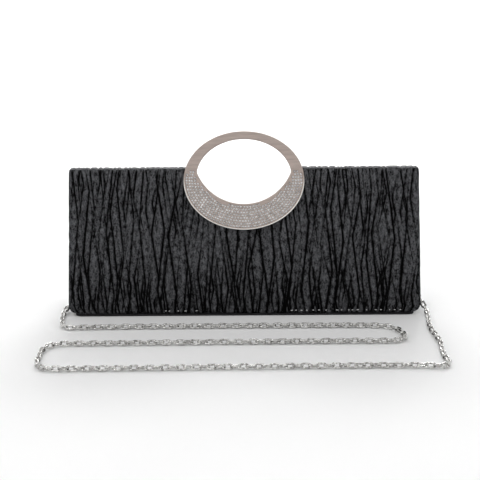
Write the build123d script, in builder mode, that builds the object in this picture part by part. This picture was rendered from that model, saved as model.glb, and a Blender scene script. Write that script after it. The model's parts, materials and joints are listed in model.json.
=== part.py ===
from build123d import *
from math import atan2, cos, hypot, pi, radians, sin, sqrt, tan
import os

# Evening clutch with a ring handle and a chain strap.
# +X is the bag's width, +Y points from the flap to the back, +Z is up.
# The origin is the middle of the footprint, on the surface that the bag stands on.

# ---- driving dimensions, mm ----
WIDTH = 270.0               # overall width
DEPTH = 50.0                # footprint, front to back
HEIGHT = 111.0              # top fold above the floor
TOP_DEPTH = 12.0            # front to back at the top fold
CORNER_R = 5.0              # rounded lower corners of the panels, seen from the front
COVER_T = 1.5               # outer satin with its padding
BOARD_T = 1.8               # stiff card
LINING_T = 0.8              # lining satin
FLAP_GAP = 0.5              # between the closed flap and the front pocket wall
FLAP_HEM_Z = 2.6            # lower edge of the flap above the floor
FOLD_R = 3.0                # outside radius of the flap's front fold
HINGE_GAP = 0.4             # under the flap's spine, and above the back cover
SPINE_GAP = 2.0             # between the flap's spine and the hinge line
WALL_INSET = 2.0            # boards and linings are this much narrower at each side
POCKET_DROP = 3.0           # front pocket wall's top below the back notch
GUSSET_T = 1.2
GUSSET_RECESS = 13.0        # gusset floor, in from the bag's side
GUSSET_SLOPE = 1.0          # each gusset flank leans in by this much
GUSSET_TOP_DROP = 7.0       # gusset's tongue ends this far below the fold
TONGUE_HALF_W = 2.2

# ring handle, measured in the plane of the flap
RING_A = 45.7               # outer half width
RING_B = 37.2               # outer half height
RING_DROP = 9.3             # ring centre below the fold
RING_T = 3.2
OPENING_A = 36.3            # upper arc of the finger opening, half width
OPENING_B = 29.5            # upper arc, half height
OPENING_RISE = 1.7          # centre of the upper arc above the ring's centre
OPENING_R = 38.5            # lower arc of the finger opening
OPENING_ARC_RISE = 20.7     # centre of the lower arc above the ring's centre
OPENING_CORNER_R = 6.0
RIM_W = 1.1                 # raised rim round the crystal pocket
PAVE_TOP_RISE = 7.8         # top of the crystal pocket above the ring's centre
PAVE_DEPTH = 1.7
PAVE_PLATE_T = 0.5
STONE_D = 2.0
STONE_PITCH = 2.26
STONE_H = 1.15
STONE_TABLE_D = 1.1
ROW_PACKING = 0.95           # distance between rows of stones, as a share of their pitch
RING_EDGE = 0.5             # bevel along the ring's front edges
BOSS_D = 4.0                # posts behind the ring, through the flap
BOSS_LOW_DROP = 22.0        # posts below the ring's centre
BOSS_HIGH_DROP = 7.3
SCREW_D = 2.0
SCREW_HEAD_D = 3.8
SCREW_HEAD_T = 0.9
SCREW_TIP = 0.4             # thread left free above the screw's tip
RING_PLATE_T = 0.8
RING_PLATE_W = 7.0
FIT = 0.1                   # radial clearance of posts and screws

# notches and bindings
NOTCH_MARGIN = 1.5          # flap's notch outside the ring's lower arc
BACK_NOTCH_A = 37.5         # back panel's notch, half width
BACK_NOTCH_DROP = 34.0      # its lowest point below the fold
BINDING_T = 1.0

# closure
MAGNET_D = 15.0
MAGNET_DROP = 42.0          # magnets below the ring's centre, in the plane of the flap

# slip pocket on the back lining
SLIP_W = 120.0
SLIP_H = 48.0
SLIP_T = 1.2
SLIP_Z = 14.0

# strap fixings, one set at each side
LOOP_W = 4.2
LOOP_DROP = 23.0            # D-ring's bar below the fold
LOOP_OUT = 4.5              # D-ring's bar out from the gusset floor
LOOP_R = 2.1
LOOP_HOLE_R = 1.25
TAB_T = 1.4
TAB_RISE = 9.0              # sewn end of the tab above the D-ring's bar
RING_WIRE = 1.4
D_RING_R = 4.2
CLASP_T = 2.6
HOOK_R = 2.4                # inside of the hook
HOOK_WALL = 1.8
HOOK_PLAY = 0.45            # between the hook and the D-ring's bow
CLASP_TAIL_R = 3.2
CLASP_TAIL_DROP = 10.8      # tail's centre below the hook's centre
HOOK_TAIL_R = 1.6
HOOK_TAIL_DROP = 5.8
GATE_CLEAR = 0.15
GATE_PIVOT_OUT = 2.7        # gate's pin, out from the clasp's middle
GATE_PIVOT_DROP = 5.3       # and below the hook's centre
GATE_TIP_DROP = 0.4         # gate's tip below the hook's centre
GATE_TIP_GAP = 0.4          # its outer corner rises as it swings past the hook's end
GATE_ROOT_RISE = 0.75       # gate's lower end above its pin
KNUCKLE_R = 1.3
KNUCKLE_T = 1.0
SLOT_T = 1.8                # slot between the clasp's cheeks
THUMB_R = 0.8
PIN_D = 0.9
SPRING_R = 0.95
SPRING_T = 0.3
SWIVEL_STEM_D = 1.6
SWIVEL_HEAD_D = 2.4
SWIVEL_HEAD_T = 0.9
SWIVEL_GAP = 0.15
SWIVEL_HEAD_RISE = 0.7      # head above the bottom of the hook's opening
SWIVEL_R = 2.7
SWIVEL_NECK = 0.9
SWIVEL_CONE = 3.3
SWIVEL_CAP = 6.0            # straight part of the bell cap

# chain strap
CHAIN_D = 4.4
FLOOR = CHAIN_D / 2

# ---- derived values ----
LEAN = atan2((DEPTH - TOP_DEPTH) / 2, HEIGHT)
FOLD_W = HEIGHT / cos(LEAN)                     # fold's height in the plane of the flap
RING_W = FOLD_W - RING_DROP                     # ring centre in the plane of the flap
OPENING_W = RING_W + OPENING_RISE
OPENING_ARC_W = RING_W + OPENING_ARC_RISE
MAGNET_W = RING_W - MAGNET_DROP
NOTCH_R = OPENING_R + NOTCH_MARGIN              # inside of the flap's binding
PANEL_T = COVER_T + BOARD_T + LINING_T
WALL_FACE = PANEL_T + FLAP_GAP                  # depths of the pocket wall's faces below the flap's
WALL_BOARD = WALL_FACE + COVER_T
WALL_LINING = WALL_BOARD + BOARD_T
POCKET_INSET = WALL_LINING + LINING_T
FLOOR_Z = COVER_T + BOARD_T
BASE_T = FLOOR_Z + LINING_T
BASE_X = WIDTH / 2 - CORNER_R
WALL_X = WIDTH / 2 - WALL_INSET
HINGE_Y = TOP_DEPTH / 2
SPINE_END = HINGE_Y - SPINE_GAP
SPINE_LOW = HEIGHT - PANEL_T
BACK_NOTCH_Z = HEIGHT - BACK_NOTCH_DROP
POCKET_TOP = BACK_NOTCH_Z - POCKET_DROP
GUSSET_X = WIDTH / 2 - GUSSET_RECESS
GUSSET_TOP = HEIGHT - GUSSET_TOP_DROP
BAR_X = GUSSET_X + LOOP_OUT
BAR_Z = HEIGHT - LOOP_DROP
D_RING_Z = BAR_Z - D_RING_R * 0.4
HOOK_Z = D_RING_Z - D_RING_R + RING_WIRE + HOOK_PLAY - HOOK_R
CLASP_R = HOOK_R + HOOK_WALL                    # outside of the hook
TAIL_Z = HOOK_Z - CLASP_TAIL_DROP
PIVOT_Z = HOOK_Z - GATE_PIVOT_DROP
HOOK_TAIL_Z = HOOK_Z - HOOK_TAIL_DROP
HOOK_BOTTOM = HOOK_TAIL_Z - HOOK_TAIL_R
CLASP_BOTTOM = TAIL_Z - CLASP_TAIL_R
SWIVEL_END = CLASP_BOTTOM - SWIVEL_GAP - SWIVEL_NECK - SWIVEL_CONE - SWIVEL_CAP
FLAP_PLANE = Plane(origin=(0, -DEPTH / 2, 0), x_dir=(1, 0, 0), z_dir=(0, -cos(LEAN), sin(LEAN)))
REACH = 4 * HEIGHT                              # longer than any cut through the bag
SIDES = {"left": -1, "right": 1}

os.makedirs("parts", exist_ok=True)


def save(piece, name):
    """Label a finished piece and write its STEP file."""
    piece.part.label = name
    export_step(piece.part, f"parts/{name}.step")


# ---- shared shapes ----
def front_y(inset, z):
    """Y at height z of the flap's outer face, moved in by inset."""
    return -DEPTH / 2 + z * tan(LEAN) + inset / cos(LEAN)


def back_y(inset, z):
    """Y at height z of the back panel's outer face, moved in by inset."""
    return -front_y(inset, z)


def prism(points, half_width):
    """Add a closed Y-Z outline, extruded to both sides of the middle."""
    with BuildSketch(Plane.YZ) as outline:
        with BuildLine():
            Polyline(*points, close=True)
        make_face()
    extrude(outline.sketch, amount=half_width, both=True)


def layer(face, outer, inner, low, high, half_width):
    """Add one flat layer of a leaning panel, between two depths below its outer face."""
    prism([(face(outer, low), low), (face(outer, high), high),
           (face(inner, high), high), (face(inner, low), low)], half_width)


def round_lower_corners(half_width, low):
    """Round the two lower corners of the current part, seen from the front."""
    with BuildSketch(Plane.XZ) as front:
        with BuildLine():
            FilletPolyline((-half_width, REACH), (-half_width, low), (half_width, low), (half_width, REACH),
                           radius=CORNER_R)
            Line((half_width, REACH), (-half_width, REACH))
        make_face()
    extrude(front.sketch, amount=REACH, both=True, mode=Mode.INTERSECT)


def cut_back_notch(margin):
    """Cut the back panel's notch, outside its binding by margin."""
    with BuildSketch(Plane.XZ) as notch:
        with Locations((0, HEIGHT)):
            Ellipse(BACK_NOTCH_A + margin, BACK_NOTCH_DROP + margin)
    extrude(notch.sketch, amount=REACH, both=True, mode=Mode.SUBTRACT)


def notch_half_gap(radius):
    """Half width of the flap's notch where it crosses the top fold."""
    return sqrt(radius**2 - (OPENING_ARC_W - FOLD_W) ** 2)


def cut_flap_notch(radius):
    """Cut the round notch under the ring and the straight gap through the top."""
    with BuildSketch(FLAP_PLANE) as notch:
        with Locations((0, OPENING_ARC_W)):
            Circle(radius)
    extrude(notch.sketch, amount=REACH, both=True, mode=Mode.SUBTRACT)
    with BuildSketch(Plane.XY.offset(SPINE_LOW - FOLD_R)) as gap:
        Rectangle(2 * notch_half_gap(radius), TOP_DEPTH + 2 * PANEL_T)
    extrude(gap.sketch, amount=REACH, mode=Mode.SUBTRACT)


def disc(inset, diameter, thickness):
    """Add a disc sunk below the flap's outer face by inset, at the magnets' place."""
    with BuildSketch(FLAP_PLANE.offset(-inset)) as face:
        with Locations((0, MAGNET_W)):
            Circle(diameter / 2)
    extrude(face.sketch, amount=-thickness)


# ---- base ----
with BuildPart() as base_cover:
    with BuildSketch():
        RectangleRounded(2 * BASE_X, DEPTH, CORNER_R)
    extrude(amount=COVER_T)
save(base_cover, "base_cover")

with BuildPart() as base_board:
    prism([(front_y(WALL_LINING, COVER_T), COVER_T), (back_y(COVER_T + BOARD_T, COVER_T), COVER_T),
           (back_y(COVER_T + BOARD_T, FLOOR_Z), FLOOR_Z), (front_y(WALL_LINING, FLOOR_Z), FLOOR_Z)], BASE_X)
save(base_board, "base_board")

with BuildPart() as base_lining:
    prism([(front_y(POCKET_INSET, FLOOR_Z), FLOOR_Z), (back_y(PANEL_T, FLOOR_Z), FLOOR_Z),
           (back_y(PANEL_T, BASE_T), BASE_T), (front_y(POCKET_INSET, BASE_T), BASE_T)], BASE_X)
save(base_lining, "base_lining")


# ---- back panel ----
BACK_TOP = SPINE_LOW - HINGE_GAP        # board and lining stop under the flap's spine


def back_layer(outer, inner, low, high, half_width):
    """Add one layer of the back panel, with its rounded corners and its notch."""
    layer(back_y, outer, inner, low, high, half_width)
    round_lower_corners(half_width, low)
    cut_back_notch(BINDING_T)


with BuildPart() as back_cover:
    back_layer(0, COVER_T, COVER_T, HEIGHT - HINGE_GAP, WIDTH / 2)
save(back_cover, "back_cover")

with BuildPart() as back_board:
    back_layer(COVER_T, COVER_T + BOARD_T, COVER_T, BACK_TOP, WALL_X)
save(back_board, "back_board")

with BuildPart() as back_lining:
    back_layer(COVER_T + BOARD_T, PANEL_T, FLOOR_Z, BACK_TOP, WALL_X)
save(back_lining, "back_lining")

with BuildPart() as back_binding:
    layer(back_y, 0, PANEL_T, BACK_NOTCH_Z - BINDING_T, BACK_TOP, BACK_NOTCH_A + BINDING_T)
    with BuildSketch(Plane.XZ):
        with Locations((0, HEIGHT)):
            Ellipse(BACK_NOTCH_A + BINDING_T, BACK_NOTCH_DROP + BINDING_T)
            Ellipse(BACK_NOTCH_A, BACK_NOTCH_DROP, mode=Mode.SUBTRACT)
    extrude(amount=REACH, both=True, mode=Mode.INTERSECT)
save(back_binding, "back_binding")

with BuildPart() as slip_pocket:
    layer(back_y, PANEL_T, PANEL_T + SLIP_T, SLIP_Z, SLIP_Z + SLIP_H, SLIP_W / 2)
    round_lower_corners(SLIP_W / 2, SLIP_Z)
save(slip_pocket, "slip_pocket")


# ---- front pocket wall, under the flap ----
with BuildPart() as front_cover:
    layer(front_y, WALL_FACE, WALL_BOARD, COVER_T, POCKET_TOP, WALL_X)
    round_lower_corners(WALL_X, COVER_T)
save(front_cover, "front_cover")

with BuildPart() as front_board:
    layer(front_y, WALL_BOARD, WALL_LINING, COVER_T, POCKET_TOP, WALL_X)
    round_lower_corners(WALL_X, COVER_T)
    with BuildSketch(FLAP_PLANE):
        with Locations((0, MAGNET_W)):
            Circle(MAGNET_D / 2 + FIT)
    extrude(amount=REACH, both=True, mode=Mode.SUBTRACT)
save(front_board, "front_board")

with BuildPart() as front_lining:
    layer(front_y, WALL_LINING, POCKET_INSET, FLOOR_Z, POCKET_TOP, WALL_X)
    round_lower_corners(WALL_X, FLOOR_Z)
save(front_lining, "front_lining")

with BuildPart() as front_magnet:
    disc(WALL_BOARD, MAGNET_D, BOARD_T)
save(front_magnet, "front_magnet")


# ---- side gussets ----
def gusset(side):
    """Channel that opens outwards, with a tongue up the back that carries the strap's tab."""
    rim = side * WALL_X
    floor = side * GUSSET_X
    inner = side * (GUSSET_X - GUSSET_T)
    flank = GUSSET_SLOPE + GUSSET_T / 2
    with BuildPart() as channel:
        for z in (BASE_T, POCKET_TOP):
            front = front_y(POCKET_INSET, z)
            back = back_y(PANEL_T, z)
            with BuildSketch(Plane.XY.offset(z)):
                with BuildLine():
                    Polyline((rim, front), (inner, front + GUSSET_SLOPE), (inner, back - GUSSET_SLOPE),
                             (rim, back), (rim, back - GUSSET_T), (floor, back - flank),
                             (floor, front + flank), (rim, front + GUSSET_T), close=True)
                make_face()
        loft(ruled=True)
        for z, front in ((POCKET_TOP, front_y(POCKET_INSET, POCKET_TOP) + GUSSET_SLOPE),
                         (GUSSET_TOP, -TONGUE_HALF_W)):
            back = back_y(PANEL_T, z)
            with BuildSketch(Plane.XY.offset(z)):
                with BuildLine():
                    Polyline((inner, front), (inner, back - GUSSET_SLOPE), (rim, back),
                             (rim, back - GUSSET_T), (floor, back - flank), (floor, front), close=True)
                make_face()
        loft(ruled=True)
    return channel


# ---- strap fixings: loop, D-ring, lobster clasp and swivel cap ----
def side_plane(side):
    """X-Z plane through the clasp, with local x pointing out from the bag."""
    return Plane(origin=(side * BAR_X, 0, 0), x_dir=(side, 0, 0), z_dir=(0, -side, 0))


def strap_loop(side):
    """Satin tab sewn to the gusset floor, with the D-ring's bar in its fold."""
    with BuildPart() as loop:
        with BuildSketch(side_plane(side)):
            with BuildLine():
                Polyline((-LOOP_OUT, BAR_Z + TAB_RISE), (-LOOP_OUT + TAB_T, BAR_Z + TAB_RISE),
                         (-LOOP_OUT + TAB_T, BAR_Z + TAB_RISE / 2), (LOOP_R * 0.8, LOOP_R * 0.6 + BAR_Z),
                         (-LOOP_R * 0.8, BAR_Z - LOOP_R * 0.6), (-LOOP_OUT, BAR_Z + LOOP_R), close=True)
            make_face()
            with Locations((0, BAR_Z)):
                Circle(LOOP_R)
                Circle(LOOP_HOLE_R, mode=Mode.SUBTRACT)
        extrude(amount=LOOP_W / 2, both=True)
    return loop


def d_profile(radius, top):
    """Round bow with a straight top, for the outside or the inside of the D-ring."""
    with BuildSketch() as profile:
        with Locations((0, D_RING_Z)):
            Circle(radius)
        with Locations((0, top + 2 * D_RING_R)):
            Rectangle(4 * D_RING_R, 4 * D_RING_R, mode=Mode.SUBTRACT)
    return profile.sketch


def d_ring(side):
    """Cast D-ring: a straight bar in the loop and a round bow below it."""
    outside = d_profile(D_RING_R, BAR_Z + RING_WIRE / 2)
    inside = d_profile(D_RING_R - RING_WIRE, BAR_Z - RING_WIRE / 2)
    with BuildPart() as ring:
        with BuildSketch(Plane.YZ.offset(side * BAR_X)):
            add(outside)
            add(inside, mode=Mode.SUBTRACT)
        extrude(amount=RING_WIRE / 2, both=True)
        fillet(ring.edges().filter_by(GeomType.CIRCLE), radius=RING_WIRE / 4)
    return ring


def hulled_circles(first_r, first_z, second_r, second_z):
    """Outline drawn round two circles, one above the other."""
    with BuildSketch() as outline:
        with Locations((0, first_z)):
            Circle(first_r)
        with Locations((0, second_z)):
            Circle(second_r)
        make_hull()
    return outline.sketch


def gate_window(low, high):
    """The stretch of the clasp's outer limb between two heights."""
    with BuildSketch() as window:
        with BuildLine():
            Polyline((GATE_CLEAR, low), (2 * CLASP_R, low), (2 * CLASP_R, high), (GATE_CLEAR, high),
                     close=True)
        make_face()
    return window.sketch


def pivot_disc(side, radius, half_thickness, mode):
    """Add or cut a disc round the gate's pin."""
    with BuildSketch(side_plane(side)) as face:
        with Locations((GATE_PIVOT_OUT, PIVOT_Z)):
            Circle(radius)
    extrude(face.sketch, amount=half_thickness, both=True, mode=mode)


def clasp(side):
    """Hook and body of the lobster clasp, with cheeks for the gate and a bore for the swivel."""
    outline = hulled_circles(CLASP_R, HOOK_Z, CLASP_TAIL_R, TAIL_Z)
    opening = hulled_circles(HOOK_R, HOOK_Z, HOOK_TAIL_R, HOOK_TAIL_Z)
    window = gate_window(PIVOT_Z - GATE_CLEAR, HOOK_Z - GATE_TIP_DROP + GATE_TIP_GAP)
    with BuildPart() as body:
        with BuildSketch(side_plane(side)):
            add(outline)
            add(opening, mode=Mode.SUBTRACT)
            add(window, mode=Mode.SUBTRACT)
        extrude(amount=CLASP_T / 2, both=True)
        pivot_disc(side, KNUCKLE_R, CLASP_T / 2, Mode.ADD)
        pivot_disc(side, KNUCKLE_R + GATE_CLEAR, SLOT_T / 2, Mode.SUBTRACT)
        pivot_disc(side, PIN_D / 2 + FIT / 2, CLASP_T, Mode.SUBTRACT)
        with BuildSketch(Plane.XY.offset(CLASP_BOTTOM)):
            with Locations((side * BAR_X, 0)):
                Circle(SWIVEL_STEM_D / 2 + FIT)
        extrude(amount=HOOK_BOTTOM - CLASP_BOTTOM + SWIVEL_HEAD_T, mode=Mode.SUBTRACT)
    return body


def gate(side):
    """Sprung lever that closes the clasp, with a thumb nub outside."""
    outline = hulled_circles(CLASP_R, HOOK_Z, CLASP_TAIL_R, TAIL_Z)
    opening = hulled_circles(HOOK_R, HOOK_Z, HOOK_TAIL_R, HOOK_TAIL_Z)
    window = gate_window(PIVOT_Z + GATE_ROOT_RISE, HOOK_Z - GATE_TIP_DROP)
    with BuildSketch() as strip:
        add(outline)
        add(opening, mode=Mode.SUBTRACT)
        add(window, mode=Mode.INTERSECT)
    with BuildPart() as lever:
        with BuildSketch(side_plane(side)):
            add(strip.sketch)
            with Locations((CLASP_R, (PIVOT_Z + HOOK_Z) / 2)):
                Circle(THUMB_R)
        extrude(amount=CLASP_T / 2, both=True)
        pivot_disc(side, KNUCKLE_R + GATE_CLEAR, CLASP_T, Mode.SUBTRACT)
        with BuildSketch(side_plane(side)):
            add(strip.sketch)
            with Locations((GATE_PIVOT_OUT, PIVOT_Z)):
                Circle(KNUCKLE_R)
        extrude(amount=KNUCKLE_T / 2, both=True)
        pivot_disc(side, PIN_D / 2 + FIT / 2, CLASP_T, Mode.SUBTRACT)
    return lever


def gate_pin(side):
    with BuildPart() as pin:
        pivot_disc(side, PIN_D / 2, CLASP_T / 2, Mode.ADD)
    return pin


def gate_spring(side):
    """Torsion spring round the pin, beside the knuckle: the coil's outer shape."""
    with BuildPart() as spring:
        with BuildSketch(side_plane(side).offset(KNUCKLE_T / 2 + FIT / 2)):
            with Locations((GATE_PIVOT_OUT, PIVOT_Z)):
                Circle(SPRING_R)
                Circle(PIN_D / 2 + FIT, mode=Mode.SUBTRACT)
        extrude(amount=SPRING_T)
    return spring


def swivel(side):
    """Bell cap on a riveted stem: it turns in the clasp and holds the chain's last link."""
    stem_r = SWIVEL_STEM_D / 2
    neck_r = 1.8 * stem_r
    head_z = HOOK_BOTTOM + SWIVEL_HEAD_RISE
    neck_z = CLASP_BOTTOM - SWIVEL_GAP
    with BuildPart() as cap:
        with BuildSketch(side_plane(side)):
            with BuildLine():
                Polyline((0, head_z + SWIVEL_HEAD_T), (SWIVEL_HEAD_D / 2, head_z + SWIVEL_HEAD_T),
                         (SWIVEL_HEAD_D / 2, head_z), (stem_r, head_z), (stem_r, neck_z), (neck_r, neck_z),
                         (neck_r, neck_z - SWIVEL_NECK), (SWIVEL_R, SWIVEL_END + SWIVEL_CAP),
                         (SWIVEL_R, SWIVEL_END), (0, SWIVEL_END), close=True)
            make_face()
        revolve(axis=Axis((side * BAR_X, 0, 0), (0, 0, 1)))
    return cap


for side_name, side in SIDES.items():
    save(gusset(side), f"gusset_{side_name}")
    save(strap_loop(side), f"loop_{side_name}")
    save(d_ring(side), f"d_ring_{side_name}")
    save(clasp(side), f"clasp_{side_name}")
    save(gate(side), f"gate_{side_name}")
    save(gate_pin(side), f"gate_pin_{side_name}")
    save(gate_spring(side), f"gate_spring_{side_name}")
    save(swivel(side), f"swivel_{side_name}")


# ---- flap ----
def flap_layer(outer, inner, half_width):
    """Add one layer of the flap: the front panel and the top that runs back to the hinge."""
    high = HEIGHT - outer
    low = HEIGHT - inner
    prism([(front_y(outer, FLAP_HEM_Z), FLAP_HEM_Z), (front_y(outer, high), high), (SPINE_END, high),
           (SPINE_END, low), (front_y(inner, low), low), (front_y(inner, FLAP_HEM_Z), FLAP_HEM_Z)],
          half_width)


def band_edges(w):
    """Inner and outer half widths of the ring's band at height w in the flap's plane."""
    outer = RING_A * sqrt(1 - ((w - RING_W) / RING_B) ** 2)
    inner = sqrt(max(OPENING_R**2 - (OPENING_ARC_W - w) ** 2, 0))
    return inner, outer


def boss_points():
    """Middle of the ring's band at two heights on each side, in the flap's plane."""
    points = []
    for drop in (BOSS_LOW_DROP, BOSS_HIGH_DROP):
        w = RING_W - drop
        x = sum(band_edges(w)) / 2
        points += [(-x, w), (x, w)]
    return points


def cut_bosses(diameter):
    """Cut a hole for each of the ring's posts, through the current part."""
    with BuildSketch(FLAP_PLANE) as holes:
        with Locations(*boss_points()):
            Circle(diameter / 2)
    extrude(holes.sketch, amount=-2 * PANEL_T, mode=Mode.SUBTRACT)


with BuildPart() as flap_cover:
    flap_layer(0, COVER_T, WIDTH / 2)
    fillet(flap_cover.edges().filter_by(Axis.X).group_by(Axis.Z)[-1].sort_by(Axis.Y)[0], radius=FOLD_R)
    round_lower_corners(WIDTH / 2, FLAP_HEM_Z)
    cut_flap_notch(NOTCH_R + BINDING_T)
    cut_bosses(BOSS_D + 2 * FIT)
save(flap_cover, "flap_cover")

with BuildPart() as flap_board:
    layer(front_y, COVER_T, COVER_T + BOARD_T, FLAP_HEM_Z, SPINE_LOW, WALL_X)
    round_lower_corners(WALL_X, FLAP_HEM_Z)
    cut_flap_notch(NOTCH_R + BINDING_T)
    cut_bosses(BOSS_D + 2 * FIT)
    with BuildSketch(FLAP_PLANE):
        with Locations((0, MAGNET_W)):
            Circle(MAGNET_D / 2 + FIT)
    extrude(amount=-2 * PANEL_T, mode=Mode.SUBTRACT)
save(flap_board, "flap_board")

GAP_X = notch_half_gap(NOTCH_R + BINDING_T)
for side_name, side in SIDES.items():
    with BuildPart() as spine_board:
        with BuildSketch(Plane.YZ.offset(side * (GAP_X + WALL_X) / 2)):
            with BuildLine():
                Polyline((front_y(COVER_T, SPINE_LOW + LINING_T), SPINE_LOW + LINING_T),
                         (front_y(COVER_T, HEIGHT - COVER_T), HEIGHT - COVER_T),
                         (SPINE_END, HEIGHT - COVER_T), (SPINE_END, SPINE_LOW + LINING_T), close=True)
            make_face()
        extrude(amount=(WALL_X - GAP_X) / 2, both=True)
    save(spine_board, f"spine_board_{side_name}")

with BuildPart() as flap_lining:
    flap_layer(COVER_T + BOARD_T, PANEL_T, WALL_X)
    round_lower_corners(WALL_X, FLAP_HEM_Z)
    cut_flap_notch(NOTCH_R + BINDING_T)
    cut_bosses(BOSS_D + 2 * FIT)
save(flap_lining, "flap_lining")

with BuildPart() as flap_binding:
    layer(front_y, 0, PANEL_T, BACK_NOTCH_Z - PANEL_T, SPINE_LOW, NOTCH_R + BINDING_T)
    with BuildSketch(FLAP_PLANE):
        with Locations((0, OPENING_ARC_W)):
            Circle(NOTCH_R + BINDING_T)
            Circle(NOTCH_R, mode=Mode.SUBTRACT)
    extrude(amount=REACH, both=True, mode=Mode.INTERSECT)
    cut_bosses(BOSS_D + 2 * FIT)
save(flap_binding, "flap_binding")

with BuildPart() as flap_magnet:
    disc(COVER_T, MAGNET_D, BOARD_T)
save(flap_magnet, "flap_magnet")


# ---- ring handle ----
def finger_opening(margin):
    """Eye-shaped opening: an elliptical upper arc over a round lower arc, grown by margin."""
    with BuildSketch() as opening:
        with Locations((0, OPENING_W)):
            Ellipse(OPENING_A + margin, OPENING_B + margin)
        with Locations((0, OPENING_ARC_W)):
            Circle(OPENING_R + margin, mode=Mode.INTERSECT)
        fillet(opening.vertices(), radius=OPENING_CORNER_R)
    return opening.sketch


def crescent():
    """Floor of the crystal pocket: the ring's band inside its rims, up to the plain arc."""
    inner = finger_opening(RIM_W)
    with BuildSketch() as pocket:
        with Locations((0, RING_W)):
            Ellipse(RING_A - RIM_W, RING_B - RIM_W)
        add(inner, mode=Mode.SUBTRACT)
        with Locations((0, RING_W + PAVE_TOP_RISE + RING_B)):
            Rectangle(4 * RING_A, 2 * RING_B, mode=Mode.SUBTRACT)
    return pocket.sketch


def in_opening(x, w, margin):
    """True where a point lies in the finger opening grown by margin."""
    in_upper = hypot(x / (OPENING_A + margin), (w - OPENING_W) / (OPENING_B + margin)) < 1
    return in_upper and hypot(x, w - OPENING_ARC_W) < OPENING_R + margin


def stone_points():
    """Rows of stones that follow the ring's outer edge, from the bottom up to both sides."""
    points = []
    depth = RIM_W + STONE_PITCH / 2
    row = 0
    while RING_W - RING_B + depth < OPENING_ARC_W - OPENING_R:
        a = RING_A - depth
        b = RING_B - depth
        angle = 0.0 if row % 2 else STONE_PITCH / 2 / a
        while angle < pi:
            x = a * sin(angle)
            w = RING_W - b * cos(angle)
            clear = not in_opening(x, w, RIM_W + STONE_D / 2)
            if clear and w < RING_W + PAVE_TOP_RISE - STONE_D / 2:
                points += [(x, w), (-x, w)] if angle > 0 else [(x, w)]
            angle += STONE_PITCH / hypot(a * cos(angle), b * sin(angle))
        depth += STONE_PITCH * ROW_PACKING
        row += 1
    return points


OPENING_OUTLINE = finger_opening(0)
CRESCENT = crescent()
with BuildPart() as ring_frame:
    with BuildSketch(FLAP_PLANE):
        with Locations((0, RING_W)):
            Ellipse(RING_A, RING_B)
        add(OPENING_OUTLINE, mode=Mode.SUBTRACT)
    extrude(amount=RING_T)
    front_face = ring_frame.faces().sort_by(Axis(FLAP_PLANE.origin, FLAP_PLANE.z_dir))[-1]
    chamfer(front_face.edges(), length=RING_EDGE)
    with BuildSketch(FLAP_PLANE.offset(RING_T)):
        add(CRESCENT)
    extrude(amount=-PAVE_DEPTH, mode=Mode.SUBTRACT)
    with BuildSketch(FLAP_PLANE):
        with Locations(*boss_points()):
            Circle(BOSS_D / 2)
    extrude(amount=-PANEL_T)
    with BuildSketch(FLAP_PLANE.offset(-PANEL_T)):
        with Locations(*boss_points()):
            Circle(SCREW_D / 2 + FIT / 2)
    extrude(amount=PANEL_T, mode=Mode.SUBTRACT)
save(ring_frame, "ring_frame")

with BuildPart() as pave_plate:
    with BuildSketch(FLAP_PLANE.offset(RING_T - PAVE_DEPTH)):
        add(CRESCENT)
    extrude(amount=PAVE_PLATE_T)
save(pave_plate, "pave_plate")

with BuildPart(FLAP_PLANE.offset(RING_T - PAVE_DEPTH + PAVE_PLATE_T)) as crystals:
    with Locations(*stone_points()):
        Cone(STONE_D / 2, STONE_TABLE_D / 2, STONE_H, align=(Align.CENTER, Align.CENTER, Align.MIN))
save(crystals, "crystals")

for side_name, side in SIDES.items():
    low, high = [point for point in boss_points() if point[0] * side > 0]
    span = hypot(high[0] - low[0], high[1] - low[1])
    tilt = atan2(high[1] - low[1], high[0] - low[0]) * 180 / pi
    with BuildPart() as ring_plate:
        with BuildSketch(FLAP_PLANE.offset(-PANEL_T)):
            with Locations(Location(((low[0] + high[0]) / 2, (low[1] + high[1]) / 2), tilt)):
                SlotCenterToCenter(span, RING_PLATE_W)
            with Locations(low, high):
                Circle(SCREW_D / 2 + FIT, mode=Mode.SUBTRACT)
        extrude(amount=-RING_PLATE_T)
    save(ring_plate, f"ring_plate_{side_name}")

with BuildPart() as ring_screws:
    with BuildSketch(FLAP_PLANE.offset(-PANEL_T - RING_PLATE_T)):
        with Locations(*boss_points()):
            Circle(SCREW_HEAD_D / 2)
    extrude(amount=-SCREW_HEAD_T)
    with BuildSketch(FLAP_PLANE.offset(-PANEL_T - RING_PLATE_T)):
        with Locations(*boss_points()):
            Circle(SCREW_D / 2)
    extrude(amount=RING_PLATE_T + PANEL_T - SCREW_TIP)
save(ring_screws, "ring_screws")


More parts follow.
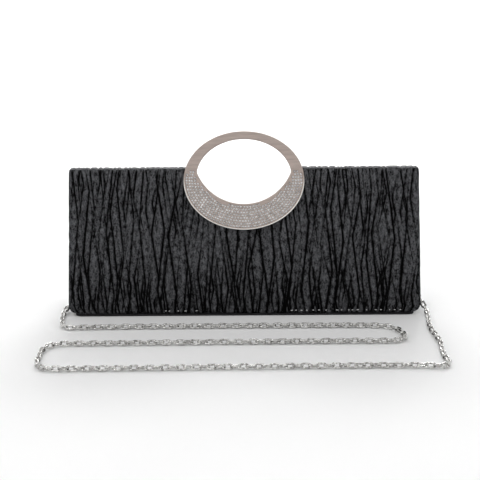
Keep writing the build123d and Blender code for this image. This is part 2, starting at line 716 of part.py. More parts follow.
# ---- chain strap, a free cord from the left clasp to the right one ----
LEFT_DROP = [               # the stretches beside the bag, as they hang: distance out, Y, height
    (BAR_X, 0, SWIVEL_END), (BAR_X, 0, 44), (BAR_X, -0.4, 31), (127.4, -1.6, 18.4),
    (131, -5, 8.4), (138.2, -13, 3.4),
]
RIGHT_DROP = [
    (BAR_X, 0, SWIVEL_END), (BAR_X, 0, 44), (BAR_X + 0.9, -1.6, 31), (131, -6, 18.4),
    (136, -12.4, 8.8), (139, -21.4, 3.6),
]
LAID = [                    # the stretch on the floor: X, Y
    (-138.4, -32), (-136.6, -43), (-134.9, -52), (-131, -58.2), (-121, -57.9), (-102, -57.2), (-66, -56.6),
    (-10, -56.3), (44, -56.2), (79, -56.5), (98, -57.6), (107.5, -61.6), (111.6, -69.5), (113.4, -79),
    (112.6, -87.2), (106.4, -92.2), (94, -92.4), (70, -92.2), (26, -92.3), (-32, -92.9), (-80, -93.8),
    (-108, -94.1), (-123, -94.2), (-132.2, -95.6), (-138.4, -101.4), (-139.7, -112), (-138.3, -123),
    (-138.4, -132.5), (-135.6, -140.6), (-128.2, -144.8), (-116, -144.7), (-94, -144.2), (-56, -143.5),
    (0, -142.6), (54, -141.9), (88, -141.7), (107, -141.9), (120, -142.6), (129.3, -144.2),
    (133.8, -137.4), (132.9, -127), (133.3, -114), (135.5, -100), (135.9, -86), (134.8, -71), (135.2, -56),
    (137, -43), (138.7, -32),
]
ROUTE = [(-x, y, z) for x, y, z in LEFT_DROP]
ROUTE += [(x, y, FLOOR) for x, y in LAID]
ROUTE += list(reversed(RIGHT_DROP))


def corner_radii(points):
    """Radius of the arc at each inner point: as large as its two runs allow."""
    radii = []
    for before, at, after in zip(points, points[1:], points[2:]):
        first = Vector(at) - Vector(before)
        second = Vector(after) - Vector(at)
        turn = radians(first.get_angle(second))
        radii.append(0.45 * min(first.length, second.length) / tan(turn / 2))
    return radii


RADII = corner_radii(ROUTE)
with BuildPart() as chain:
    with BuildLine() as chain_path:
        FilletPolyline(*ROUTE, radius=RADII)
    with BuildSketch(Plane(origin=ROUTE[0], z_dir=Vector(ROUTE[1]) - Vector(ROUTE[0]))):
        Circle(CHAIN_D / 2)
    sweep()
save(chain, "chain")

path_length = chain_path.wire().length
print("cord radii, mm:", [round(radius, 1) for radius in RADII])
print("cord length, mm:", round(path_length, 1))
print("cord volume over section times length:",
      round(chain.part.volume / (pi * CHAIN_D**2 / 4 * path_length), 4))
print("hinge line, mm: y", HINGE_Y, "z", HEIGHT)
print("gate pins, mm: x", BAR_X + GATE_PIVOT_OUT, "y", 0, "z", round(PIVOT_Z, 4))
print("swivel axes, mm: x", BAR_X, "y", 0, "z", round(SWIVEL_END, 4))
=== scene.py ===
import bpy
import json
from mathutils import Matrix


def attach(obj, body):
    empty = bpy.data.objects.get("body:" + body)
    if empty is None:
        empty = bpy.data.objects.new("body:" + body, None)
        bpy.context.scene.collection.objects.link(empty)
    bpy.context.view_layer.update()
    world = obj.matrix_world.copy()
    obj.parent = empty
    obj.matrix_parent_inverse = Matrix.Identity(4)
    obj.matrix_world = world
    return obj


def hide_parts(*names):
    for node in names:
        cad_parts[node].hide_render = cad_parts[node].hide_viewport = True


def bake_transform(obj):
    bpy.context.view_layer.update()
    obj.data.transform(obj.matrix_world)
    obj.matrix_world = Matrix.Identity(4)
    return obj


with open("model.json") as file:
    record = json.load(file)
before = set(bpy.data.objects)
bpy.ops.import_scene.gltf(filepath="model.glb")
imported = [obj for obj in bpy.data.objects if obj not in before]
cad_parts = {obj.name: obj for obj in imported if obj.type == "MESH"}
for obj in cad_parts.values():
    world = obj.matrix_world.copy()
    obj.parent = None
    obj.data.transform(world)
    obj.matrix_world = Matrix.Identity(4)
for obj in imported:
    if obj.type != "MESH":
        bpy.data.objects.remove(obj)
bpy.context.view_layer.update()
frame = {"nodes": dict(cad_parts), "record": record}

import json
from math import atan2, cos, hypot, pi, radians, sin, tan

import bpy
import numpy as np
from mathutils import Matrix, Vector

# Lengths are in millimetres up to to_mesh(), which writes metres.
MM = 0.001
RNG = np.random.default_rng(7)
NODES = frame["nodes"]
SIDES = {"left": -1, "right": 1}

# ---- sizes of the CAD model that the soft pieces follow ----
HEIGHT = 111.0
DEPTH = 50.0
HALF_W = 135.0
TOP_HALF = 6.0                          # half depth of the top fold; the hinge line is at +6
LEAN = atan2(DEPTH / 2 - TOP_HALF, HEIGHT)
FOLD_W = HEIGHT / cos(LEAN)
HEM_Z = 1.9                             # the flap's cloth ends just below its board
BACK_HEM_Z = 1.55                       # and the back's ends on the base
NOTCH_W, NOTCH_R = 124.01, 41.0         # flap's notch, in the plane of the flap
GAP_X = 39.38                           # notch's half width through the top
BACK_A, BACK_B = 38.5, 35.0             # back panel's notch
BACK_NOTCH_W = FOLD_W - 0.2             # height of its centre, in the plane of the back
POCKET_TOP = 74.0
BOARD_IN = 3.5                          # turned-in edges end at this depth
CORNER_R = 5.0                          # lower corners of the boards and linings
CLOTH_CORNER_R = 7.0                    # lower corners of the pleated cloth over them
STRAP_X = 126.5                         # D-rings and clasps, from the middle
LINING_HALF_W = 131.8
LINING_T = 0.55
RING_A, RING_B, RING_W, RING_T = 45.7, 37.2, 103.31, 3.2
LIP_R = 0.45
HEM_GLINT_SPANS = ((-61, -34), (35, 120))  # stretches of the hem where the painted glints show
HEM_GLINT_W = 4.0                      # their height in the plane of the flap
FLAP_FOOT = np.array([0, -DEPTH / 2, 0])
FLAP_UP = np.array([0, sin(LEAN), cos(LEAN)])
FLAP_OUT = np.array([0, -cos(LEAN), sin(LEAN)])


# ---- mesh helpers ----
def to_mesh(name, verts, faces, smooth=True):
    """New object from points in mm and faces."""
    mesh = bpy.data.meshes.new(name)
    mesh.from_pydata((np.asarray(verts, float) * MM).tolist(), [], [list(map(int, f)) for f in faces])
    mesh.validate()
    mesh.polygons.foreach_set("use_smooth", [smooth] * len(mesh.polygons))
    mesh.update()
    obj = bpy.data.objects.new(name, mesh)
    bpy.context.scene.collection.objects.link(obj)
    return obj


def join_meshes(parts):
    """Several (verts, faces) as one."""
    verts, faces, base = [], [], 0
    for v, f in parts:
        verts.append(np.asarray(v, float))
        faces += [[i + base for i in face] for face in f]
        base += len(v)
    return np.concatenate(verts), faces


def apply(obj, *modifiers):
    """Apply (type, settings) modifiers in order."""
    for kind, settings in modifiers:
        m = obj.modifiers.new(kind.lower(), kind)
        for key, value in settings.items():
            setattr(m, key, value)
    bpy.context.view_layer.update()
    made = bpy.data.meshes.new_from_object(obj.evaluated_get(bpy.context.evaluated_depsgraph_get()))
    old = obj.data
    obj.modifiers.clear()
    obj.data = made
    bpy.data.meshes.remove(old)
    obj.data.polygons.foreach_set("use_smooth", [True] * len(obj.data.polygons))
    return obj


def finish(obj, material, body, slot, *nodes, blend=None):
    """Give a piece its material, and its body or, with blend, its place baked into its points, and hide the
    CAD nodes that it stands for. slot is not used.
    """
    obj.data.materials.clear()
    obj.data.materials.append(material)
    if nodes:
        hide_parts(*nodes)
    if blend:
        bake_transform(obj)
    else:
        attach(obj, body)
    return obj


def value_noise(seed):
    """Smooth 2-D noise in -1..1, as a function of two arrays."""
    table = np.random.default_rng(seed).uniform(-1, 1, (64, 64))

    def f(x, y):
        x, y = np.broadcast_arrays(np.asarray(x, float), np.asarray(y, float))
        i, j = np.floor(x).astype(int), np.floor(y).astype(int)
        u, v = x - i, y - j
        u, v = u * u * (3 - 2 * u), v * v * (3 - 2 * v)
        a = table[i % 64, j % 64] * (1 - u) + table[(i + 1) % 64, j % 64] * u
        b = table[i % 64, (j + 1) % 64] * (1 - u) + table[(i + 1) % 64, (j + 1) % 64] * u
        return a * (1 - v) + b * v
    return f


def rounded_path(corners, step=0.25):
    """Points about step apart along a polyline of (a, b, radius) corners, with arcs at its corners."""
    pts = [np.array(corners[0][:2], float)]
    for before, at, after in zip(corners, corners[1:], corners[2:]):
        p, q, r = (np.array(c[:2], float) for c in (before, at, after))
        a, b = (p - q) / np.linalg.norm(p - q), (r - q) / np.linalg.norm(r - q)
        half = np.arccos(np.clip(a @ b, -1, 1)) / 2
        radius = at[2]
        reach = radius / tan(half)
        centre = q + (a + b) / np.linalg.norm(a + b) * radius / sin(half)
        start, end = q + a * reach - centre, q + b * reach - centre
        turn = pi - 2 * half
        sign = np.sign(start[0] * end[1] - start[1] * end[0])
        for k in np.linspace(0, 1, max(3, int(radius * turn / step) + 2)):
            c, s = cos(sign * turn * k), sin(sign * turn * k)
            pts.append(centre + np.array([c * start[0] - s * start[1], s * start[0] + c * start[1]]))
    pts.append(np.array(corners[-1][:2], float))
    pts = np.array(pts)
    along = np.concatenate([[0], np.cumsum(np.linalg.norm(np.diff(pts, axis=0), axis=1))])
    at = np.linspace(0, along[-1], int(along[-1] / step) + 1)
    return np.stack([np.interp(at, along, pts[:, k]) for k in (0, 1)], 1), at


def profile(corners, left_normal=True):
    """Functions of arc length s: point and outward normal of a rounded polyline."""
    pts, at = rounded_path(corners)
    tangent = np.gradient(pts, at, axis=0)
    tangent /= np.linalg.norm(tangent, axis=1)[:, None]
    normal = np.stack([-tangent[:, 1], tangent[:, 0]], 1) * (1 if left_normal else -1)

    def point(s):
        return np.stack([np.interp(s, at, pts[:, k]) for k in (0, 1)], -1)

    def out(s):
        n = np.stack([np.interp(s, at, normal[:, k]) for k in (0, 1)], -1)
        return n / np.linalg.norm(n, axis=-1, keepdims=True)
    return point, out, at[-1]


def grid_faces(rows, cols, keep=None):
    """Quads of a rows by cols grid of points."""
    i = np.arange(rows * cols).reshape(rows, cols)
    quads = np.stack([i[:-1, :-1], i[:-1, 1:], i[1:, 1:], i[1:, :-1]], -1).reshape(-1, 4)
    return quads if keep is None else quads[keep.reshape(-1)]


def tube_faces(rows, around):
    """Faces of a closed tube: rows of around points each, with both ends filled."""
    walls = [[i * around + k, i * around + (k + 1) % around, (i + 1) * around + (k + 1) % around,
              (i + 1) * around + k] for i in range(rows - 1) for k in range(around)]
    return walls + [list(range(around))[::-1], list(range((rows - 1) * around, rows * around))]


def not_all_inside(inside):
    """Which quads of a grid have a point outside a hole."""
    return ~(inside[:-1, :-1] & inside[:-1, 1:] & inside[1:, 1:] & inside[1:, :-1])


def compact(verts, faces):
    """Drop the points that no face uses."""
    faces = np.asarray(faces)
    used, index = np.unique(faces, return_inverse=True)
    return verts[used], index.reshape(faces.shape)


def flap_yz(w, depth):
    """Y and Z of a point in the flap's panel, w up its plane and depth below its outer face."""
    return -DEPTH / 2 + w * sin(LEAN) + depth * cos(LEAN), w * cos(LEAN) - depth * sin(LEAN)


# ---- materials ----
def material(name, color, rough=0.5, metal=0.0, grain=None, tint=None, bump=0.0, stretch=(1, 1, 1),
             second=None, fold=None, **sockets):
    """Principled material with its own noise.

    grain and second are noise scales per metre, stretched by stretch. The noise takes the colour from
    tint[0] to tint[1] times itself, and bump is its height in mm. fold paints shade into a cloth whose
    points carry the attribute of that name: its valleys go dark, down to fold times the noise.
    """
    m = bpy.data.materials.new(name)
    m.use_nodes = True
    tree = m.node_tree
    shader = tree.nodes["Principled BSDF"]
    shader.inputs["Base Color"].default_value = (*color, 1)
    shader.inputs["Roughness"].default_value = rough
    shader.inputs["Metallic"].default_value = metal
    for key, value in sockets.items():
        shader.inputs[key.replace("_", " ")].default_value = value
    if not grain:
        return m
    coords = tree.nodes.new("ShaderNodeTexCoord")
    mapping = tree.nodes.new("ShaderNodeMapping")
    mapping.inputs["Scale"].default_value = stretch
    tree.links.new(coords.outputs["Object"], mapping.inputs["Vector"])

    def noise(scale, detail=3.0):
        n = tree.nodes.new("ShaderNodeTexNoise")
        n.inputs["Scale"].default_value = scale
        n.inputs["Detail"].default_value = detail
        tree.links.new(mapping.outputs["Vector"], n.inputs["Vector"])
        return n.outputs["Fac"]
    fac = noise(grain)
    if second:
        mix = tree.nodes.new("ShaderNodeMath")      # the mean of the two noises
        mix.operation = "MULTIPLY_ADD"
        mix.inputs[1].default_value = 0.5
        tree.links.new(noise(second, 2.0), mix.inputs[0])
        half = tree.nodes.new("ShaderNodeMath")
        half.operation = "MULTIPLY"
        half.inputs[1].default_value = 0.5
        tree.links.new(fac, half.inputs[0])
        tree.links.new(half.outputs[0], mix.inputs[2])
        fac = mix.outputs[0]
    shaded_fac = fac
    # Painted shade: the cloth's fold attribute scales the noise down in its crease valleys, so they turn
    # black.
    if fold:
        valley = tree.nodes.new("ShaderNodeAttribute")
        valley.attribute_name = "fold"
        span = tree.nodes.new("ShaderNodeMapRange")
        span.inputs["To Min"].default_value = fold
        tree.links.new(valley.outputs["Fac"], span.inputs["Value"])
        shaded = tree.nodes.new("ShaderNodeMath")
        shaded.operation = "MULTIPLY"
        tree.links.new(fac, shaded.inputs[0])
        tree.links.new(span.outputs["Result"], shaded.inputs[1])
        shaded_fac = shaded.outputs[0]
    if tint:
        low, high = tint
        ramp = tree.nodes.new("ShaderNodeValToRGB")
        ramp.color_ramp.elements[0].position = 0.35
        ramp.color_ramp.elements[1].position = 0.68
        ramp.color_ramp.elements[0].color = (*[c * low for c in color], 1)
        ramp.color_ramp.elements[1].color = (*[min(1, c * high) for c in color], 1)
        tree.links.new(shaded_fac, ramp.inputs["Fac"])
        tree.links.new(ramp.outputs["Color"], shader.inputs["Base Color"])
    if bump:
        b = tree.nodes.new("ShaderNodeBump")
        b.inputs["Strength"].default_value = 1.0
        b.inputs["Distance"].default_value = bump * MM
        tree.links.new(fac, b.inputs["Height"])
        tree.links.new(b.outputs["Normal"], shader.inputs["Normal"])
    return m


# SATIN's fold paints shade into the crease valleys, taking them to black.
SATIN = material("pleated_satin", (0.031, 0.0315, 0.0335), 0.48, grain=1500, second=520,
                 tint=(0.03, 4.4), bump=0.09, stretch=(1, 1, 0.5), fold=0.45, Specular_IOR_Level=0.03)
PLAIN = material("plain_satin", (0.014, 0.014, 0.0155), 0.42, grain=1500, second=260, tint=(0.5, 1.7),
                 bump=0.05, stretch=(1, 1, 0.5), Specular_IOR_Level=0.15)
LINING = material("lining_satin", (0.045, 0.045, 0.05), 0.33, grain=1800, second=60, tint=(0.7, 1.35),
                  bump=0.05, stretch=(1, 1, 0.3), Sheen_Weight=0.15, Sheen_Roughness=0.3)
CARD = material("card", (0.022, 0.022, 0.024), 0.85, grain=700, second=4000, tint=(0.75, 1.3), bump=0.06,
                Specular_IOR_Level=0.2)
CHAMPAGNE = material("champagne_metal", (0.52, 0.435, 0.395), 0.3, 1.0, grain=900, tint=(0.9, 1.1),
                     bump=0.006, stretch=(0.08, 1, 1))
CRYSTAL = material("crystal", (0.97, 0.94, 0.92), 0.07, 0.62, grain=420, tint=(0.48, 1.2),
                   Coat_Weight=1.0, Coat_Roughness=0.02)
# Pale, part-diffuse colour of the ring's rolled lip: a painted highlight, paler than the ring's metal, on a
# real rounded edge that also catches the lamps.
LIP_PAINTED_HIGHLIGHT = material("lip_painted_highlight", (0.93, 0.9, 0.86), 0.3, 0.55, grain=900, tint=(0.95, 1.05))
# Pale glossy colour of the beads along the hem: painted glints.
GLINT = material("painted_glint_bead", (0.6, 0.6, 0.6), 0.15, grain=2500, tint=(0.5, 1.4))
STEEL = material("zinc_steel", (0.5, 0.5, 0.51), 0.35, 1.0, grain=1200, tint=(0.85, 1.12), bump=0.01)
NICKEL = material("polished_nickel", (0.66, 0.64, 0.62), 0.16, 1.0, grain=500, tint=(0.9, 1.08), bump=0.003)
# The chain's noise swings its colour from 0.36 to 1.3 times: painted reflections, dark and bright spots that
# stand in for the facets of the links.
CHAIN = material("chain_metal", (0.8, 0.772, 0.75), 0.16, 1.0, grain=620, tint=(0.36, 1.3), bump=0.03)
MAGNET = material("nickel_magnet", (0.45, 0.45, 0.47), 0.3, 1.0, grain=900, tint=(0.9, 1.1), bump=0.006)
BY_SLOT = {
    "pleated_satin": SATIN, "plain_satin": PLAIN, "lining_satin": LINING, "card": CARD, "magnet": MAGNET,
    "champagne_metal": CHAMPAGNE, "crystal": CRYSTAL, "steel": STEEL, "bright_metal": NICKEL,
    "chain_metal": CHAIN,
}
for part in frame["record"]["subparts"]:
    node = NODES[part["node"]]
    if not node.material_slots:
        node.data.materials.append(BY_SLOT[part["material_slot"]])
    for place in node.material_slots:
        place.material = BY_SLOT[part["material_slot"]]


# ---- camera ----
LENS, SENSOR = 75, 36
FAR = 50                                # metres
PITCH, ROLL = radians(13.0), radians(0.37)
CAMERA_AT = (-3.3, -758.0, 228.7)
camera = bpy.data.objects.new("camera", bpy.data.cameras.new("camera"))
bpy.context.scene.collection.objects.link(camera)
camera.data.lens = LENS
camera.data.sensor_width = SENSOR
camera.data.clip_end = FAR
forward = Vector((0, cos(PITCH), -sin(PITCH)))
level = Vector((1, 0, 0))
right = level * cos(ROLL) - level.cross(forward) * sin(ROLL)
up = right.cross(forward)
camera.matrix_world = Matrix((right, up, -forward)).transposed().to_4x4()
camera.location = Vector(CAMERA_AT) * MM
bpy.context.scene.camera = camera

# ---- chain strap ----
CHAIN_D = 4.4
LINK_PITCH = 5.08
LINK_W = 4.4
WIRE = 1.4
LINK_PLAY = 0.1
LINK_TILT = pi / 4
ROLL_SPREAD, YAW_SPREAD = 0.16, 0.05    # how unevenly the links lie
FLOOR_GAP = 0.02
SWIVEL_END = 57.22
# Down each side of the bag, with X counted outwards, and then over the floor.
LEFT_DROP = [(STRAP_X, 0, SWIVEL_END), (STRAP_X, 0, 44), (STRAP_X, -0.4, 31), (127.4, -1.6, 18.4),
             (131, -5, 8.4), (138.2, -13, 3.4)]
RIGHT_DROP = [(STRAP_X, 0, SWIVEL_END), (STRAP_X, 0, 44), (127.4, -1.6, 31), (131, -6, 18.4),
              (136, -12.4, 8.8), (139, -21.4, 3.6)]
LAID = [
    (-138.4, -32), (-136.6, -43), (-134.9, -52), (-131, -58.2), (-121, -57.9), (-102, -57.2), (-66, -56.6),
    (-10, -56.3), (44, -56.2), (79, -56.5), (98, -57.6), (107.5, -61.6), (111.6, -69.5), (113.4, -79),
    (112.6, -87.2), (106.4, -92.2), (94, -92.4), (70, -92.2), (26, -92.3), (-32, -92.9), (-80, -93.8),
    (-108, -94.1), (-123, -94.2), (-132.2, -95.6), (-138.4, -101.4), (-139.7, -112), (-138.3, -123),
    (-138.4, -132.5), (-135.6, -140.6), (-128.2, -144.8), (-116, -144.7), (-94, -144.2), (-56, -143.5),
    (0, -142.6), (54, -141.9), (88, -141.7), (107, -141.9), (120, -142.6), (129.3, -144.2),
    (133.8, -137.4), (132.9, -127), (133.3, -114), (135.5, -100), (135.9, -86), (134.8, -71), (135.2, -56),
    (137, -43), (138.7, -32),
]
ROUTE = [(-x, y, z) for x, y, z in LEFT_DROP] + [(x, y, CHAIN_D / 2) for x, y in LAID] + RIGHT_DROP[::-1]
curve = bpy.data.curves.new("chain_route", "CURVE")
curve.dimensions = "3D"
curve.resolution_u = 16
spline = curve.splines.new("NURBS")
spline.points.add(len(ROUTE) - 1)
for control, place in zip(spline.points, ROUTE):
    control.co = (*[value * MM for value in place], 1)
spline.order_u = 3
spline.use_endpoint_u = True
holder = bpy.data.objects.new("chain_route", curve)
route_mesh = bpy.data.meshes.new_from_object(holder)
LINE = np.array([v.co for v in route_mesh.vertices]) / MM
bpy.data.objects.remove(holder)
bpy.data.curves.remove(curve)
bpy.data.meshes.remove(route_mesh)
ALONG = np.concatenate([[0], np.cumsum(np.linalg.norm(np.diff(LINE, axis=0), axis=1))])
CHAIN_LENGTH = ALONG[-1]


def on_line(s):
    """Points of the chain's route at arc lengths s."""
    return np.stack([np.interp(s, ALONG, LINE[:, k]) for k in range(3)], -1)


def link_shape(length, width, wire, around=8, along=22):
    """One oval chain link in the X-Y plane, drawn along X: points and quads."""
    radius = (width - wire) / 2
    straight = length - width
    total = 2 * straight + 2 * pi * radius
    centres, outs = [], []
    for s in np.arange(along) * total / along:
        s = (s + straight / 2) % total
        if s < straight:
            centres.append((s - straight / 2, -radius))
            outs.append((0, -1))
        elif s < straight + pi * radius:
            a = (s - straight) / radius - pi / 2
            centres.append((straight / 2 + radius * cos(a), radius * sin(a)))
            outs.append((cos(a), sin(a)))
        elif s < 2 * straight + pi * radius:
            centres.append((straight / 2 - (s - straight - pi * radius), radius))
            outs.append((0, 1))
        else:
            a = (s - 2 * straight - pi * radius) / radius + pi / 2
            centres.append((-straight / 2 + radius * cos(a), radius * sin(a)))
            outs.append((cos(a), sin(a)))
    centres, outs = np.array(centres), np.array(outs)
    verts = []
    for k in range(around):
        a = 2 * pi * k / around
        ring = np.zeros((along, 3))
        ring[:, :2] = centres + outs * cos(a) * wire / 2
        ring[:, 2] = sin(a) * wire / 2
        verts.append(ring)
    verts = np.concatenate(verts)
    faces = [[k * along + i, k * along + (i + 1) % along, (k + 1) % around * along + (i + 1) % along,
              (k + 1) % around * along + i] for k in range(around) for i in range(along)]
    return verts, faces


def chain_links():
    """Cable links along the route, each turned a quarter from the last and tilted on the floor."""
    count = round(CHAIN_LENGTH / LINK_PITCH)
    pitch = CHAIN_LENGTH / count
    shape, faces = link_shape(pitch + 2 * WIRE - LINK_PLAY, LINK_W, WIRE)
    middle = count // 2
    frames = [None] * count
    for order in (range(middle, count), range(middle - 1, -1, -1)):
        over = np.array([0, 0, 1.0])
        for i in order:
            s = (i + 0.5) * pitch
            place = on_line(s)
            along = on_line(s + pitch / 2) - on_line(s - pitch / 2)
            along /= np.linalg.norm(along)
            over = over - along * (over @ along)
            over /= np.linalg.norm(over)
            if abs(along[2]) < 0.5:         # on the floor, so it turns back to lying flat
                flat = np.array([0, 0, 1.0]) - along * along[2]
                over = 0.7 * over + 0.3 * flat / np.linalg.norm(flat)
                over /= np.linalg.norm(over)
            frames[i] = (place, along, over)
    parts = []
    for i, (place, along, over) in enumerate(frames):
        roll = (LINK_TILT if i % 2 else -LINK_TILT) + RNG.uniform(-ROLL_SPREAD, ROLL_SPREAD)
        side = np.cross(over, along)
        across = cos(roll) * side + sin(roll) * over
        normal = np.cross(along, across)
        yaw = RNG.uniform(-YAW_SPREAD, YAW_SPREAD)
        along, across = cos(yaw) * along + sin(yaw) * across, cos(yaw) * across - sin(yaw) * along
        parts.append((place + shape @ np.array([along, across, normal]), faces))
    verts, faces = join_meshes(parts)
    verts[:, 2] = np.maximum(verts[:, 2], FLOOR_GAP)
    return to_mesh("chain_links", verts, faces)


links = finish(chain_links(), CHAIN, "root", "chain_metal", "chain")


# ---- pleated satin ----
CREASE_MARGIN = 6                       # creases start this far outside the cloth's sides
CREASE_REACH = 300                      # and run to here along the cloth
PLEAT_H = 1.9
VALLEY_W = 0.68
FADE_W = 1.4                            # a crease with no strength counts as this far away


def crease_lines(count, seed, swing, run, powers, fades):
    """Valley lines of the crinkled pleats: zigzags down the cloth whose strength rises and falls.

    swing is how far a line goes to each side, in pitches, run the length of a zigzag's leg, and powers
    and fades the strengths that its turns take in turn.
    """
    rng = np.random.default_rng(seed)
    pitch = (2 * HALF_W + 2 * CREASE_MARGIN) / count
    lines = []
    for k in range(count):
        x = -HALF_W - CREASE_MARGIN + (k + 0.5 + rng.uniform(-0.2, 0.2)) * pitch
        s = rng.uniform(-30, 0)
        side = rng.choice([-1, 1])
        at, across, power = [], [], []
        while s < CREASE_REACH:
            at.append(s)
            across.append(x + side * rng.uniform(*swing) * pitch)
            power.append(rng.choice(powers) if len(power) % 2 else rng.choice(fades))
            side = -side
            s += rng.uniform(*run)
        lines.append((np.array(at), np.array(across), np.array(power)))
    return lines


CREASES = crease_lines(64, 3, (0.4, 0.8), (28, 56), (0.9, 1.0, 1.0), (0.4, 0.8, 1.0))
CREASES += crease_lines(66, 11, (0.45, 1.05), (26, 54), (0.8, 1.0, 1.0), (-0.2, 0.2, 0.6))
WAVE, STREAK, SWELL = value_noise(1), value_noise(2), value_noise(5)


def pleats(x, s):
    """Height of the crinkled cloth, in mm, and how far out of a valley each point is, 0 to 1."""
    x, s = np.broadcast_arrays(x, s)
    bent = x + 0.15 * WAVE(x / 23, s / 31)
    near = np.full(x.shape, 9.0)
    for at, across, power in CREASES:
        line = np.interp(s, at, across)
        strength = np.interp(s, at, power)
        near = np.minimum(near, np.abs(bent - line) + (1 - strength) * FADE_W)
    ridge = 1 - np.exp(-(near / VALLEY_W) ** 1.5)
    lift = PLEAT_H * (ridge - 0.8) + 0.16 * STREAK(x / 0.9, s / 11) + 0.16 * SWELL(x / 4, s / 13)
    return lift, ridge


HEM_W = HEM_Z / cos(LEAN)
HEM_R = 1.7
CLOTH_PATH = [                          # Y, Z and corner radius: inside the flap, over the top, down the back
    (*flap_yz(11, BOARD_IN), 0), (*flap_yz(HEM_W, BOARD_IN), HEM_R), (*flap_yz(HEM_W, 0), HEM_R),
    (-TOP_HALF, HEIGHT, 3.0), (TOP_HALF, HEIGHT, 3.5), (-flap_yz(1.6, 0)[0], BACK_HEM_Z, HEM_R),
    (-flap_yz(1.6, BOARD_IN)[0], BACK_HEM_Z, HEM_R), (-flap_yz(9, BOARD_IN)[0], 9, 0),
]
CLOTH, CLOTH_OUT, CLOTH_END = profile(CLOTH_PATH)
EDGE_R = 1.4
EDGE, EDGE_OUT, EDGE_END = profile([(0, 0, 0), (HALF_W, 0, EDGE_R), (HALF_W, BOARD_IN, 1.0),
                                    (HALF_W - 4, BOARD_IN, 0)], left_normal=False)
FACE_END = HALF_W - EDGE_R - 1          # beyond it a column goes round the side edge
SPLIT_Z = 97.0                          # on the back: the crossing cloth ends and the back cloth starts


def cloth_rows(marks):
    """Row positions from (arc length, step from there on) marks."""
    rows = [marks[0][0]]
    for (start, step), (end, _) in zip(marks, marks[1:]):
        n = max(1, round((end - start) / step))
        rows += list(start + (end - start) * np.arange(1, n + 1) / n)
    return np.array(rows)


def arc_where(test, low=0.0):
    """First arc length along the cloth, from low on, where test(y, z) holds."""
    s = np.arange(low, CLOTH_END, 0.05)
    p = CLOTH(s)
    return s[np.argmax(test(p[:, 0], p[:, 1]))]


S_FRONT = arc_where(lambda y, z: (z > HEM_Z + 2.5) & (y < -23.9))
S_FOLD = arc_where(lambda y, z: z > HEIGHT - 3.2, S_FRONT)
S_TOP = arc_where(lambda y, z: y > -3.2, S_FOLD)
S_HINGE = arc_where(lambda y, z: y > 3.2, S_TOP)
S_BACK = arc_where(lambda y, z: z < HEIGHT - 4.5, S_HINGE)
S_SPLIT = arc_where(lambda y, z: z < SPLIT_Z, S_BACK)
S_BASE = arc_where(lambda y, z: z < 5.0, S_SPLIT)
ROWS_FLAP = cloth_rows([(0, 1.6), (S_FRONT - 5.5, 0.6), (S_FRONT, 1.45), (S_FOLD, 0.6), (S_TOP, 1.4),
                        (S_HINGE, 0.5), (S_BACK, 1.3), (S_SPLIT, 1)])
ROWS_BACK = cloth_rows([(S_SPLIT, 1.45), (S_BASE, 0.6), (S_BASE + 5.5, 1.6), (CLOTH_END, 1)])


def side_columns(step):
    """Column positions u across the cloth: even on the face and finer round both side edges."""
    face = np.linspace(0, FACE_END, round(FACE_END / step) + 1)
    edge = np.linspace(FACE_END, EDGE_END, 13)[1:]
    half = np.concatenate([face, edge])
    return np.concatenate([-half[:0:-1], half])


def corner_pull(z, low, radius=CORNER_R):
    """How far a rounded lower corner pulls the side edge in, at height z."""
    up = np.clip(z - low, 0, radius)
    return radius - np.sqrt(radius**2 - (radius - up) ** 2)


